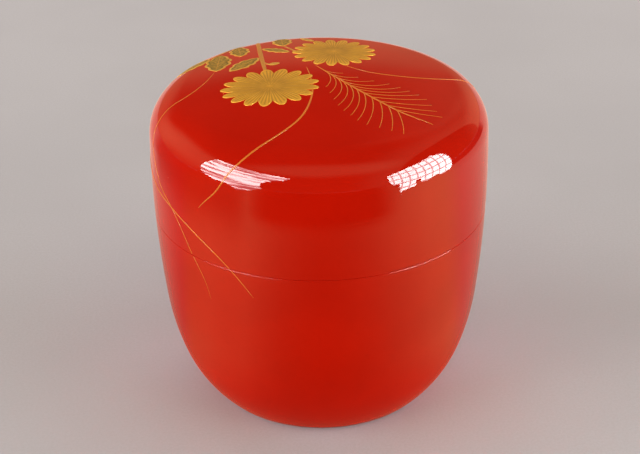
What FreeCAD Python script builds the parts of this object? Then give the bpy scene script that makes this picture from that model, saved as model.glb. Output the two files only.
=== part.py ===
import FreeCAD, Part
import collections
import math
import os

# Tea caddy with a lift-off lid: two turned wooden shells, lacquered red outside and black
# inside, with a thin gold decoration of chrysanthemums and autumn grasses laid on the red.
# Millimetres, +Z up, origin at the middle of the foot. The decoration faces -Y.

# Outside form, measured on the finished lacquer
caddy_diameter = 66.0
caddy_height = 66.0
seam_height = 40.0
widest_height = 47.8
dome_radius = 160.0
shoulder_radius = 8.0
side_radius = 232.0
belly_height = 22.0
belly_radius = 54.0
foot_curve_height = 10.5
foot_curve_radius = 27.6
foot_edge_radius = 0.8
foot_ring_width = 3.6
foot_recess_depth = 0.8

# Walls of the two shells
coat = 0.35
well_floor = 3.4
well_corner_radius = 18.0
ledge_width = 2.3
rim_thickness = 1.65
rim_height = 10.0
lid_ceiling = 2.6
lid_corner_radius = 5.5
lid_lip_radius = 0.6
seam_edge_radius = 0.1

# Fit of the lid on the body
rim_clearance = 0.12
seam_gap = 0.04

# Gold decoration. Places on the lid are drawn for one caddy diameter and spread with it
drawing_diameter = 66.0
gold_layer = 0.08
stroke_swell = 0.6
front_flower_width = 19.0
front_flower_depth = 16.9
front_flower_centre = (-9.2, -3.3)
back_flower_width = 16.9
back_flower_depth = 18.1
back_flower_centre = (3.3, 15.1)
flower_petals = 17
petal_notch = 2.1
petal_round = 0.9
petal_gap = 0.9
stem_width = 0.9
twig_width = 0.5
bud_length = 2.4
bud_width = 1.4
blade_width = 0.36
fine_blade_width = 0.3
plume_stem_width = 0.4
hair_width = 0.26
hairs_per_side = 11

# Leaf lobes on the lid seen from above: foot of the lobe, its tip and its width
leaf_lobes = [
    ((-21.6, 16.0), (-28.0, 10.0), 3.4),
    ((-19.6, 17.2), (-20.0, 7.2), 5.6),
    ((-16.4, 22.2), (-15.3, 14.9), 4.3),
    ((-11.7, 12.8), (-17.3, 6.2), 3.9),
    ((-11.3, 19.0), (-5.6, 15.4), 2.7),
    ((-7.6, 27.2), (-7.0, 20.2), 4.3),
    ((-3.6, 26.4), (-0.7, 23.2), 1.5),
]
# Stems on the lid seen from above, each with its width
stem_lines = [
    ([(-12.5, 29.0), (-12.0, 21.0), (-11.4, 14.5), (-10.3, 5.0)], stem_width),
    ([(-12.4, 27.0), (-15.4, 24.2), (-18.3, 20.4), (-21.4, 16.2)], twig_width),
    ([(-12.4, 29.2), (-10.2, 28.6), (-7.5, 26.6)], twig_width),
    ([(-7.1, 20.6), (-5.8, 18.2), (-4.2, 15.4)], twig_width),
    ([(-11.0, 10.6), (-10.2, 8.8), (-9.0, 8.0)], twig_width),
]
bud_place = (-8.6, 8.3)
bud_heading = 15.0

# Grass blades: points seen from above on the lid, then azimuth in degrees and how far
# down the side from the fold of the shoulder (0) to the seam (1), and the width
grass_blades = [
    ([(-20.2, 7.0), (-21.6, 2.4), (-23.3, -1.1), (-25.9, -4.6), (-28.9, -6.9), (-32.2, -8.1)],
     [(-166.4, -0.064), (-164.4, 0.1), (-161.9, 0.3), (-156.2, 0.506), (-147.3, 0.648),
      (-141.9, 0.795), (-137.3, 0.976), (-131.3, 1.234), (-129.8, 1.38)],
     fine_blade_width),
    ([(-27.0, 10.6), (-29.0, 9.7), (-32.0, 8.4)],
     [(161.6, -0.064), (166.5, 0.2), (183.0, 0.46), (199.4, 0.585), (213.1, 0.648),
      (225.2, 0.762), (238.6, 0.978), (247.4, 1.23)],
     blade_width),
    ([(-2.2, 5.6), (-1.4, 0.0), (-1.2, -8.0), (-3.3, -16.6), (-8.0, -23.0), (-13.0, -27.0),
      (-15.5, -28.5)],
     [(-113.3, -0.064), (-117.3, 0.014), (-120.2, 0.099), (-124.7, 0.28), (-132.3, 0.495)],
     blade_width),
    ([(4.6, 6.8), (9.6, 3.1), (16.2, 1.6), (22.7, 2.0), (27.3, 3.4), (32.0, 5.9)],
     [(8.9, -0.064), (14.0, 0.15), (20.0, 0.36)],
     fine_blade_width),
]

# Plume of grass: the stem, and the hairs on its two sides. Lengths and headings are for
# hairs evenly spaced from the root of the plume to its tip
plume_stem = [(-0.5, 6.5), (2.7, 1.15), (7.0, -5.05), (11.4, -10.3), (15.35, -14.2)]
plume_tip = (20.8, -17.6)
first_hair = 0.13
last_hair = 0.95
lower_hairs = {"length": (8.6, 11.2, 11.0, 8.5), "start": (-60.0, -70.0, -84.0, -76.0),
               "end": (-120.0, -126.0, -114.0, -94.0)}
upper_hairs = {"length": (4.1, 10.2, 10.7, 8.4), "start": (-50.0, -40.0, -9.0, -16.0),
               "end": (7.0, 40.0, 19.0, 0.0)}

Arc = collections.namedtuple("Arc", "x z radius")


def section_point(x, z):
    return FreeCAD.Vector(x, 0, z)


def on_arc(arc, angle, inset=0.0):
    reach = arc.radius - inset
    return section_point(arc.x + reach * math.cos(angle), arc.z + reach * math.sin(angle))


def arc_edge(arc, start, end, inset=0.0):
    middle = (start + end) / 2
    points = [on_arc(arc, angle, inset) for angle in (start, middle, end)]
    return Part.Arc(*points).toShape()


def angle_at(arc, height, inset=0.0):
    return math.asin((height - arc.z) / (arc.radius - inset))


def reach_at(arc, height, inset=0.0):
    return on_arc(arc, angle_at(arc, height, inset), inset).x


def direction(start, end):
    return math.atan2(end.z - start.z, end.x - start.x)


def arc_between(first, second, radius):
    """Arc of a given radius that touches two larger arcs from inside, on the outer side."""
    a = first.radius - radius
    b = second.radius - radius
    dx = second.x - first.x
    dz = second.z - first.z
    span = math.hypot(dx, dz)
    along = (a * a - b * b + span * span) / (2 * span)
    across = math.sqrt(a * a - along * along)
    x = first.x + (dx * along - dz * across) / span
    z = first.z + (dz * along + dx * across) / span
    mirrored_x = first.x + (dx * along + dz * across) / span
    mirrored_z = first.z + (dz * along - dx * across) / span
    if mirrored_x > x:
        return Arc(mirrored_x, mirrored_z, radius)
    return Arc(x, z, radius)


def arc_after(arc, height, radius):
    """Arc of a given radius that takes over smoothly from another one at a height."""
    angle = angle_at(arc, height)
    centre = on_arc(arc, angle, radius)
    return Arc(centre.x, centre.z, radius)


def edge_arc(arc, centre_height, radius):
    """Small rounding between an arc and a flat face."""
    reach = arc.radius - radius
    x = arc.x + math.sqrt(reach * reach - (centre_height - arc.z) ** 2)
    return Arc(x, centre_height, radius)


# The outside is one smooth chain of arcs: dome, shoulder, side, belly and foot curve
dome = Arc(0.0, caddy_height - dome_radius, dome_radius)
side = Arc(caddy_diameter / 2 - side_radius, widest_height, side_radius)
shoulder = arc_between(dome, side, shoulder_radius)
belly = arc_after(side, belly_height, belly_radius)
foot_curve = arc_after(belly, foot_curve_height, foot_curve_radius)
foot_edge = edge_arc(foot_curve, foot_edge_radius, foot_edge_radius)
recess_reach = foot_edge.x - foot_ring_width
recess_radius = (recess_reach ** 2 + foot_recess_depth ** 2) / (2 * foot_recess_depth)
recess = Arc(0.0, foot_recess_depth - recess_radius, recess_radius)

lid_bottom = seam_height + seam_gap
body_seam_edge = edge_arc(side, seam_height - seam_edge_radius, seam_edge_radius)
lid_seam_edge = edge_arc(side, lid_bottom + seam_edge_radius, seam_edge_radius)

rim_outside = reach_at(side, seam_height) - ledge_width
rim_inside = rim_outside - rim_thickness
rim_top = seam_height + rim_height
lid_inside = rim_outside + rim_clearance


def body_outside(inset, top):
    """Underside and outside of the body from the axis to a height, laid deeper by an inset."""
    ring_start = math.sqrt((recess.radius + inset) ** 2 - (inset - recess.z) ** 2)
    recess_end = math.atan2(inset - recess.z, ring_start)
    joints = [-math.pi / 2, direction(foot_curve, foot_edge), angle_at(belly, foot_curve_height),
              angle_at(side, belly_height)]
    return [
        arc_edge(recess, math.pi / 2, recess_end, -inset),
        Part.makeLine(section_point(ring_start, inset), section_point(foot_edge.x, inset)),
        arc_edge(foot_edge, joints[0], joints[1], inset),
        arc_edge(foot_curve, joints[1], joints[2], inset),
        arc_edge(belly, joints[2], joints[3], inset),
        arc_edge(side, joints[3], angle_at(side, top, inset), inset),
    ]


def lid_outside(inset, bottom):
    """Top and outside of the lid from the axis down to a height, laid deeper by an inset."""
    joints = [math.pi / 2, direction(dome, shoulder), direction(side, shoulder)]
    return [
        arc_edge(dome, joints[0], joints[1], inset),
        arc_edge(shoulder, joints[1], joints[2], inset),
        arc_edge(side, joints[2], angle_at(side, bottom, inset), inset),
    ]


def body_inside(inset):
    """The well, the standing rim and the ledge under the lid, laid deeper by an inset."""
    corner = Arc(rim_inside - well_corner_radius, well_floor + well_corner_radius,
                 well_corner_radius)
    rim_round = Arc(rim_inside + rim_thickness / 2, rim_top - rim_thickness / 2,
                    rim_thickness / 2)
    ledge = seam_height - inset
    return [
        Part.makeLine(section_point(0, well_floor - inset),
                      section_point(corner.x, well_floor - inset)),
        arc_edge(corner, -math.pi / 2, 0, -inset),
        Part.makeLine(section_point(rim_inside + inset, corner.z),
                      section_point(rim_inside + inset, rim_round.z)),
        arc_edge(rim_round, math.pi, 0, inset),
        Part.makeLine(section_point(rim_outside - inset, rim_round.z),
                      section_point(rim_outside - inset, ledge)),
        Part.makeLine(section_point(rim_outside - inset, ledge),
                      section_point(reach_at(side, ledge, coat), ledge)),
    ]


def lid_hollow(inset):
    """Ceiling, skirt and lower edge of the lid, laid deeper by an inset."""
    ceiling = Arc(0.0, dome.z, dome_radius - lid_ceiling)
    corner_reach = ceiling.radius - lid_corner_radius
    corner_x = lid_inside - lid_corner_radius
    corner = Arc(corner_x, ceiling.z + math.sqrt(corner_reach ** 2 - corner_x ** 2),
                 lid_corner_radius)
    lip = Arc(lid_inside + lid_lip_radius, lid_bottom + lid_lip_radius, lid_lip_radius)
    turn = direction(ceiling, corner)
    edge = lid_bottom + inset
    return [
        arc_edge(ceiling, math.pi / 2, turn, -inset),
        arc_edge(corner, turn, 0, -inset),
        Part.makeLine(section_point(lid_inside + inset, corner.z),
                      section_point(lid_inside + inset, lip.z)),
        arc_edge(lip, math.pi, 3 * math.pi / 2, inset),
        Part.makeLine(section_point(lip.x, edge),
                      section_point(reach_at(side, edge, coat), edge)),
    ]


def turned(first, second, end):
    """Solid of revolution between two chains that start at the axis and are joined at the end."""
    start = Part.makeLine(first[0].Vertexes[0].Point, second[0].Vertexes[0].Point)
    face = Part.Face(Part.Wire(Part.__sortEdges__(first + second + [start] + end)))
    return face.revolve(FreeCAD.Vector(0, 0, 0), FreeCAD.Vector(0, 0, 1), 360)


def seam_rounding(edge, flat):
    """Rounded outer edge of a red coat, and its flat end up to the wood."""
    outward = direction(side, edge)
    to_flat = math.copysign(math.pi / 2, flat - edge.z)
    return [
        arc_edge(edge, outward, to_flat),
        Part.makeLine(section_point(edge.x, flat), section_point(reach_at(side, flat, coat), flat)),
    ]


def wood_side(start, end):
    """Strip of the wood's outside that ends a black coat at the seam."""
    return [arc_edge(side, angle_at(side, start, coat), angle_at(side, end, coat), coat)]


def rounded_side(edge):
    return on_arc(side, direction(side, edge)).z


def body_pieces():
    wood_top = seam_height - coat
    return {
        "body_core": turned(body_outside(coat, wood_top), body_inside(coat), []),
        "body_lacquer_outer": turned(body_outside(0, rounded_side(body_seam_edge)),
                                     body_outside(coat, seam_height),
                                     seam_rounding(body_seam_edge, seam_height)),
        "body_lacquer_inner": turned(body_inside(0), body_inside(coat),
                                     wood_side(seam_height, wood_top)),
    }


def lid_pieces():
    wood_bottom = lid_bottom + coat
    return {
        "lid_core": turned(lid_outside(coat, wood_bottom), lid_hollow(coat), []),
        "lid_lacquer_outer": turned(lid_outside(0, rounded_side(lid_seam_edge)),
                                    lid_outside(coat, lid_bottom),
                                    seam_rounding(lid_seam_edge, lid_bottom)),
        "lid_lacquer_inner": turned(lid_hollow(0), lid_hollow(coat),
                                    wood_side(lid_bottom, wood_bottom)),
    }


# The gold is cut out of a thin skin that lies on the red lacquer
def skin(outside, seam_edge):
    height = rounded_side(seam_edge)
    ends = [section_point(reach_at(side, height, inset), height) for inset in (0, -gold_layer)]
    return turned(outside(0, height), outside(-gold_layer, height), [Part.makeLine(*ends)])


lid_skin = skin(lid_outside, lid_seam_edge)
body_skin = skin(body_outside, body_seam_edge)
fold_height = on_arc(shoulder, math.pi / 4).z


def flat(x, y):
    return FreeCAD.Vector(x, y, 0)


def drawn(place):
    """Point of the decoration, seen from above."""
    spread = caddy_diameter / drawing_diameter
    return flat(place[0] * spread, place[1] * spread)


def filled(edges):
    return Part.Face(Part.Wire(Part.__sortEdges__(edges)))


def joined(shapes):
    """One shape from solids that may overlap."""
    return shapes[0].multiFuse(shapes[1:]).removeSplitter()


def curve(points):
    spline = Part.BSplineCurve()
    spline.interpolate(points)
    return spline


def ribbon(points, width, blunt=None):
    """Brush stroke along a line, pointed at both ends or cut blunt at its start or end."""
    line = curve(points)
    steps = 2 * len(points)
    first, last = {None: (0, math.pi), "end": (0, math.pi / 2), "start": (math.pi / 2, math.pi)}[blunt]
    left = []
    right = []
    for step in range(steps + 1):
        share = step / steps
        at = line.FirstParameter + share * (line.LastParameter - line.FirstParameter)
        heading = line.tangent(at)[0]
        across = FreeCAD.Vector(-heading.y, heading.x, 0)
        swell = max(0.0, math.sin(first + share * (last - first)))
        half = width / 2 * swell ** stroke_swell
        left.append(line.value(at) + across * half)
        right.append(line.value(at) - across * half)
    edges = [curve(left).toShape(), curve(right).toShape()]
    if blunt:
        cut = 0 if blunt == "start" else -1
        edges.append(Part.makeLine(left[cut], right[cut]))
    return filled(edges)


def lobe(start, end, width):
    """Leaf lobe or bud of two arcs between its foot and its tip."""
    along = (end - start).normalize()
    across = FreeCAD.Vector(-along.y, along.x, 0) * (width / 2)
    middle = (start + end) / 2
    return filled([Part.Arc(start, middle + across, end).toShape(),
                   Part.Arc(start, middle - across, end).toShape()])


def flower(centre, width, depth):
    """Chrysanthemum seen from above: each petal has two sides and a round tip."""
    pitch = 2 * math.pi / flower_petals
    lean = petal_gap / ((width + depth) / 2 - 2 * petal_round)

    def inward(angle, inset):
        return centre + flat((width / 2 - inset) * math.cos(angle), (depth / 2 - inset) * math.sin(angle))
    edges = []
    for k in range(flower_petals):
        first = k * pitch
        last = first + pitch
        tip_start = inward(first + lean, petal_round)
        tip_end = inward(last - lean, petal_round)
        edges += [Part.makeLine(inward(first, petal_notch), tip_start),
                  Part.Arc(tip_start, inward((first + last) / 2, 0), tip_end).toShape(),
                  Part.makeLine(tip_end, inward(last, petal_notch))]
    return filled(edges)


def hair(start, headings, length):
    """Plume hair: a thin arc that turns from its first heading to its last one."""
    first, last = [math.radians(heading) for heading in headings]
    radius = length / (last - first)

    def at(share, offset):
        heading = first + share * (last - first)
        x = start.x + radius * (math.sin(heading) - math.sin(first)) - offset * math.sin(heading)
        y = start.y - radius * (math.cos(heading) - math.cos(first)) + offset * math.cos(heading)
        return flat(x, y)
    half = hair_width / 2
    return filled([Part.Arc(at(0, half), at(0.5, half / 2), at(1, 0)).toShape(),
                   Part.Arc(at(0, -half), at(0.5, -half / 2), at(1, 0)).toShape(),
                   Part.makeLine(at(0, half), at(0, -half))])


def blend(values, share):
    """Value at a share of the way along evenly spaced ones."""
    place = share * (len(values) - 1)
    index = min(int(place), len(values) - 2)
    return values[index] + (values[index + 1] - values[index]) * (place - index)


def plume():
    stem = [drawn(place) for place in plume_stem]
    line = curve(stem)
    strokes = [ribbon(stem + [drawn(plume_tip)], plume_stem_width)]
    for side_hairs in (lower_hairs, upper_hairs):
        for k in range(hairs_per_side):
            share = k / (hairs_per_side - 1)
            at = first_hair + share * (last_hair - first_hair)
            foot = line.value(line.FirstParameter + at * (line.LastParameter - line.FirstParameter))
            turn = [blend(side_hairs["start"], share), blend(side_hairs["end"], share)]
            strokes.append(hair(foot, turn, blend(side_hairs["length"], share)))
    return strokes


def on_top(faces):
    """Gold where flat faces, seen from above, lie on the top of the lid."""
    prisms = []
    for face in faces:
        face.translate(FreeCAD.Vector(0, 0, fold_height))
        prisms.append(face.extrude(FreeCAD.Vector(0, 0, caddy_height)))
    prism = joined(prisms) if len(prisms) > 1 else prisms[0]
    return prism.common(lid_skin)


def outside_reach(height):
    """Outside radius of the caddy on the shoulder, side or belly."""
    if height > on_arc(side, direction(side, shoulder)).z:
        return reach_at(shoulder, height)
    return reach_at(side, height) if height > belly_height else reach_at(belly, height)


def on_side(points, width, skin):
    """Gold where a blade runs down the side from the fold."""
    facing = (points[0][0] + points[-1][0]) / 2
    line = []
    for azimuth, share in points:
        height = fold_height + share * (seam_height - fold_height)
        line.append(flat(outside_reach(height) * math.sin(math.radians(azimuth - facing)), height))
    stroke = ribbon(line, width, "start")
    upright = FreeCAD.Rotation(FreeCAD.Vector(1, 0, 0), 90)
    turn = FreeCAD.Rotation(FreeCAD.Vector(0, 0, 1), facing + 90)
    stroke.Placement = FreeCAD.Placement(FreeCAD.Vector(0, 0, 0), turn.multiply(upright))
    outward = FreeCAD.Vector(math.cos(math.radians(facing)), math.sin(math.radians(facing)), 0)
    below_fold = Part.makeCylinder(caddy_diameter, fold_height)
    return stroke.extrude(outward * caddy_diameter).common(skin).common(below_fold)


def leaf_spray():
    heading = math.radians(bud_heading)
    reach = flat(math.cos(heading), math.sin(heading)) * (bud_length / 2)
    bud = lobe(drawn(bud_place) - reach, drawn(bud_place) + reach, bud_width)
    leaves = [lobe(drawn(foot), drawn(tip), width) for foot, tip, width in leaf_lobes]
    stems = [ribbon([drawn(place) for place in line], width) for line, width in stem_lines]
    return leaves + stems + [bud]


def top_blade(places, width):
    return on_top([ribbon([drawn(place) for place in places], width, "end")])


def gold_pieces():
    """The flowers lie over the leaves and the plume, and these over the grass blades."""
    front = on_top([flower(drawn(front_flower_centre), front_flower_width, front_flower_depth)])
    back = on_top([flower(drawn(back_flower_centre), back_flower_width, back_flower_depth)]).cut(front)
    spray = on_top(leaf_spray()).cut([front, back])
    grass = on_top(plume()).cut([front, back, spray])
    blades = [top_blade(top, width) for top, _, width in grass_blades]
    blades += [on_side(down, width, lid_skin) for _, down, width in grass_blades]
    lower = [on_side(down, width, body_skin) for _, down, width in grass_blades if down[-1][1] > 1]
    return {
        "gold_chrysanthemum_front": front,
        "gold_chrysanthemum_back": back,
        "gold_leaf_spray": spray,
        "gold_grass_plume": grass,
        "gold_grass_blades_lid": joined(blades).cut([front, back, spray, grass]),
        "gold_grass_blades_body": joined(lower),
    }


def main():
    os.makedirs("parts", exist_ok=True)
    pieces = {**body_pieces(), **lid_pieces(), **gold_pieces()}
    for name, shape in pieces.items():
        shape.exportStep("parts/" + name + ".step")


main()
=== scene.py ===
import math

import bpy
import numpy as np
from mathutils import Matrix, Vector

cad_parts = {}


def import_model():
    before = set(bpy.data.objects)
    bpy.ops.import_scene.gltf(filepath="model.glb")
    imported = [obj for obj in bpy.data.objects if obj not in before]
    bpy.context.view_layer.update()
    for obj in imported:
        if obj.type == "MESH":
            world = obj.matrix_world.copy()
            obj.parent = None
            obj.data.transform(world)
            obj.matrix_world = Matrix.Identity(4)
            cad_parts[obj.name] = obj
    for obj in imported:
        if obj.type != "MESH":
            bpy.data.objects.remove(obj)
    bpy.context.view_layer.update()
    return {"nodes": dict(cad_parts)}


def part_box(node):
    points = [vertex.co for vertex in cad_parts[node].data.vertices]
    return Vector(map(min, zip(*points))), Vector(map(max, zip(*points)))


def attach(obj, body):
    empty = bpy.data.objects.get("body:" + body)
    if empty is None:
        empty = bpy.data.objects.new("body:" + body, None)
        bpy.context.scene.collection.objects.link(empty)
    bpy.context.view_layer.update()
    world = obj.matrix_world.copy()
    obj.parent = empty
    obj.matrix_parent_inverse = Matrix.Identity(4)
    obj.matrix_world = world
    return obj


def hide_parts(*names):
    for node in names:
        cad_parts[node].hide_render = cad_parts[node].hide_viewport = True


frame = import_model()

# Lacquered tea caddy: turned shells with polished lacquer, and gold relief laid on the lacquer.
# All places are metres in the part's own frame.
MM = 0.001

# Main sizes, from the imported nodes
lid_low, lid_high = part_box("lid_lacquer_outer")
WIDEST = lid_high.x
TOP = lid_high.z
LID_SEAM = lid_low.z
BODY_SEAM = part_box("body_lacquer_outer")[1].z
RIM_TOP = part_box("body_lacquer_inner")[1].z

# Curves of the outside
DOME_RADIUS = 160 * MM
SHOULDER_RADIUS = 8 * MM
SIDE_RADIUS = 232 * MM
WIDEST_HEIGHT = 47.8 * MM
BELLY_HEIGHT = 22 * MM
BELLY_RADIUS = 54 * MM
FOOT_CURVE_HEIGHT = 10.5 * MM
FOOT_CURVE_RADIUS = 27.6 * MM
FOOT_EDGE_RADIUS = 0.8 * MM
FOOT_RING_WIDTH = 3.6 * MM
FOOT_RECESS_DEPTH = 0.8 * MM

# Walls, rim and hollow
COAT = 0.35 * MM
WELL_FLOOR = 3.4 * MM
WELL_CORNER_RADIUS = 18 * MM
LEDGE_WIDTH = 2.3 * MM
RIM_THICKNESS = 1.65 * MM
LID_CEILING = 2.6 * MM
LID_CORNER_RADIUS = 5.5 * MM
LID_LIP_RADIUS = 0.6 * MM
SEAM_EDGE_RADIUS = 0.1 * MM
RIM_CLEARANCE = 0.12 * MM

# Steps of the turned meshes
TURN_STEPS = 240
ARC_STEP = 0.35 * MM
ARC_STEP_ANGLE = math.radians(6)
LINE_STEP = 0.8 * MM
CHAMFER = 0.02 * MM


class Arc:
    """Arc of the half section, with angles from the +X side; it bulges outwards."""

    def __init__(self, x, z, radius):
        self.x, self.z, self.radius = x, z, radius

    def at(self, angle, inset=0.0):
        reach = self.radius - inset
        return self.x + reach * math.cos(angle), self.z + reach * math.sin(angle)

    def angle_at(self, height, inset=0.0):
        return math.asin((height - self.z) / (self.radius - inset))

    def reach_at(self, height, inset=0.0):
        return self.at(self.angle_at(height, inset), inset)[0]

    def towards(self, other):
        return math.atan2(other.z - self.z, other.x - self.x)

    def followed_by(self, height, radius):
        """Arc of another radius that goes on smoothly from a height."""
        return Arc(*self.at(self.angle_at(height), radius), radius)

    def edge(self, height, radius):
        """Small rounding between this arc and a flat face."""
        reach = self.radius - radius
        return Arc(self.x + math.sqrt(reach ** 2 - (height - self.z) ** 2), height, radius)


def arc_between(first, second, radius):
    """Arc that touches two larger ones from inside, on the outer side."""
    a, b = first.radius - radius, second.radius - radius
    dx, dz = second.x - first.x, second.z - first.z
    span = math.hypot(dx, dz)
    along = (a * a - b * b + span * span) / (2 * span)
    across = math.sqrt(a * a - along * along)
    centres = [(first.x + (dx * along - side * dz * across) / span,
                first.z + (dz * along + side * dx * across) / span) for side in (1, -1)]
    return Arc(*max(centres), radius)


UP = math.pi / 2
DOME = Arc(0.0, TOP - DOME_RADIUS, DOME_RADIUS)
SIDE = Arc(WIDEST - SIDE_RADIUS, WIDEST_HEIGHT, SIDE_RADIUS)
SHOULDER = arc_between(DOME, SIDE, SHOULDER_RADIUS)
BELLY = SIDE.followed_by(BELLY_HEIGHT, BELLY_RADIUS)
FOOT_CURVE = BELLY.followed_by(FOOT_CURVE_HEIGHT, FOOT_CURVE_RADIUS)
FOOT_EDGE = FOOT_CURVE.edge(FOOT_EDGE_RADIUS, FOOT_EDGE_RADIUS)
RIM_OUTSIDE = SIDE.reach_at(BODY_SEAM) - LEDGE_WIDTH
RIM_INSIDE = RIM_OUTSIDE - RIM_THICKNESS
LID_INSIDE = RIM_OUTSIDE + RIM_CLEARANCE


class Section:
    """Half section of a turned shell: points with their normals, which are on the left hand."""

    def __init__(self):
        self.points, self.normals = [], []

    def add(self, point, normal):
        if self.points and math.dist(point, self.points[-1]) < 1e-7:
            return
        self.points.append(point)
        self.normals.append(normal)

    def arc(self, arc, start, end, inset=0.0, outward=1):
        turn = abs(end - start)
        steps = max(2, math.ceil(turn * (arc.radius - inset) / ARC_STEP), math.ceil(turn / ARC_STEP_ANGLE))
        for angle in np.linspace(start, end, steps + 1):
            self.add(arc.at(angle, inset), (outward * math.cos(angle), outward * math.sin(angle)))
        return self

    def line(self, *corners):
        """Straight runs between corners. Each corner keeps a hair's breadth of chamfer."""
        for start, end in zip(np.array(corners[:-1]), np.array(corners[1:])):
            along = (end - start) / math.dist(start, end)
            steps = max(2, math.ceil(math.dist(start, end) / LINE_STEP))
            for place in np.linspace(start + along * CHAMFER, end - along * CHAMFER, steps + 1):
                self.add(tuple(place), (-along[1], along[0]))
        return self

    def back(self):
        """The same run from its end, seen from its other face."""
        turned_round = Section()
        for point, normal in zip(self.points[::-1], self.normals[::-1]):
            turned_round.add(point, (-normal[0], -normal[1]))
        return turned_round

    def then(self, other):
        for point, normal in zip(other.points, other.normals):
            self.add(point, normal)
        return self


def linked(name, data):
    """New object in the scene."""
    obj = bpy.data.objects.new(name, data)
    bpy.context.scene.collection.objects.link(obj)
    return obj


def placed(name, mesh, body, node, material):
    """Object for a mesh that rides on a body and stands for a CAD node."""
    mesh.materials.append(material)
    piece = linked(name, mesh)
    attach(piece, body)
    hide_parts(node)


def smooth_mesh(name, verts, faces):
    mesh = bpy.data.meshes.new(name)
    mesh.from_pydata(verts.tolist(), [], faces)
    mesh.polygons.foreach_set("use_smooth", [True] * len(mesh.polygons))
    return mesh


def turned(name, section):
    """Mesh of a section turned about Z. Both ends of the section lie on the axis."""
    points, normals = np.array(section.points), np.array(section.normals)
    turn = np.arange(TURN_STEPS) * 2 * math.pi / TURN_STEPS

    def swept(pairs):
        """Rings of points or normals from all pairs but the two on the axis."""
        reach, height = pairs[1:-1, :1], pairs[1:-1, 1:]
        return np.stack([reach * np.cos(turn), reach * np.sin(turn), height + 0 * turn], -1).reshape(-1, 3)

    poles = [[0, 0, points[0, 1]], [0, 0, points[-1, 1]]]
    pole_normals = [[0, 0, math.copysign(1, normals[0, 1])], [0, 0, math.copysign(1, normals[-1, 1])]]
    verts = np.vstack([swept(points), poles])
    first_pole, last_pole = len(verts) - 2, len(verts) - 1
    last_ring = (len(points) - 3) * TURN_STEPS
    faces = []
    for k in range(TURN_STEPS):
        after = (k + 1) % TURN_STEPS
        faces.append((first_pole, k, after))
        faces.append((last_pole, last_ring + after, last_ring + k))
        for row in range(0, last_ring, TURN_STEPS):
            faces.append((row + k, row + TURN_STEPS + k, row + TURN_STEPS + after, row + after))
    mesh = smooth_mesh(name, verts, faces)
    mesh.normals_split_custom_set_from_vertices(np.vstack([swept(normals), pole_normals]).tolist())
    return mesh


def lid_outside(inset, bottom):
    """From the axis over the dome and shoulder down to an angle on the side."""
    to_shoulder, to_side = DOME.towards(SHOULDER), SIDE.towards(SHOULDER)
    section = Section().arc(DOME, UP, to_shoulder, inset).arc(SHOULDER, to_shoulder, to_side, inset)
    return section.arc(SIDE, to_side, bottom, inset)


def red_lid():
    edge = SIDE.edge(LID_SEAM + SEAM_EDGE_RADIUS, SEAM_EDGE_RADIUS)
    section = lid_outside(0.0, SIDE.towards(edge)).arc(edge, SIDE.towards(edge), -UP)
    section.line((edge.x, LID_SEAM), (SIDE.reach_at(LID_SEAM, COAT), LID_SEAM))
    return turned("lid_red_lacquer", section.then(lid_outside(COAT, SIDE.angle_at(LID_SEAM, COAT)).back()))


def body_outside(inset, top):
    """From an angle on the side down to the foot and over its recess to the axis."""
    recess_reach = FOOT_EDGE.x - FOOT_RING_WIDTH
    recess_radius = (recess_reach ** 2 + FOOT_RECESS_DEPTH ** 2) / (2 * FOOT_RECESS_DEPTH)
    recess = Arc(0.0, FOOT_RECESS_DEPTH - recess_radius, recess_radius)
    ring = math.sqrt((recess_radius + inset) ** 2 - (inset - recess.z) ** 2)
    to_belly, to_foot = SIDE.angle_at(BELLY_HEIGHT), BELLY.angle_at(FOOT_CURVE_HEIGHT)
    to_edge = FOOT_CURVE.towards(FOOT_EDGE)
    section = Section().arc(SIDE, top, to_belly, inset).arc(BELLY, to_belly, to_foot, inset)
    section.arc(FOOT_CURVE, to_foot, to_edge, inset).arc(FOOT_EDGE, to_edge, -UP, inset)
    section.line((FOOT_EDGE.x, inset), (ring, inset))
    return section.arc(recess, math.atan2(inset - recess.z, ring), UP, -inset, -1)


def red_body():
    edge = SIDE.edge(BODY_SEAM - SEAM_EDGE_RADIUS, SEAM_EDGE_RADIUS)
    section = body_outside(COAT, SIDE.angle_at(BODY_SEAM, COAT)).back()
    section.line((SIDE.reach_at(BODY_SEAM, COAT), BODY_SEAM), (edge.x, BODY_SEAM))
    section.arc(edge, UP, SIDE.towards(edge)).then(body_outside(0.0, SIDE.towards(edge)))
    return turned("body_red_lacquer", section)


def body_inside(inset):
    """From the axis over the well's floor, up the well, over the rim and out along the ledge."""
    corner = Arc(RIM_INSIDE - WELL_CORNER_RADIUS, WELL_FLOOR + WELL_CORNER_RADIUS, WELL_CORNER_RADIUS)
    rim = Arc(RIM_INSIDE + RIM_THICKNESS / 2, RIM_TOP - RIM_THICKNESS / 2, RIM_THICKNESS / 2)
    floor, ledge = WELL_FLOOR - inset, BODY_SEAM - inset
    inner, outer = RIM_INSIDE + inset, RIM_OUTSIDE - inset
    section = Section().line((-CHAMFER, floor), (corner.x, floor)).arc(corner, -UP, 0, -inset, -1)
    section.line((inner, corner.z), (inner, rim.z)).arc(rim, math.pi, 0, inset)
    return section.line((outer, rim.z), (outer, ledge), (SIDE.reach_at(ledge, COAT), ledge))


def black_body():
    return turned("body_black_lacquer", body_inside(0.0).then(body_inside(COAT).back()))


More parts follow.
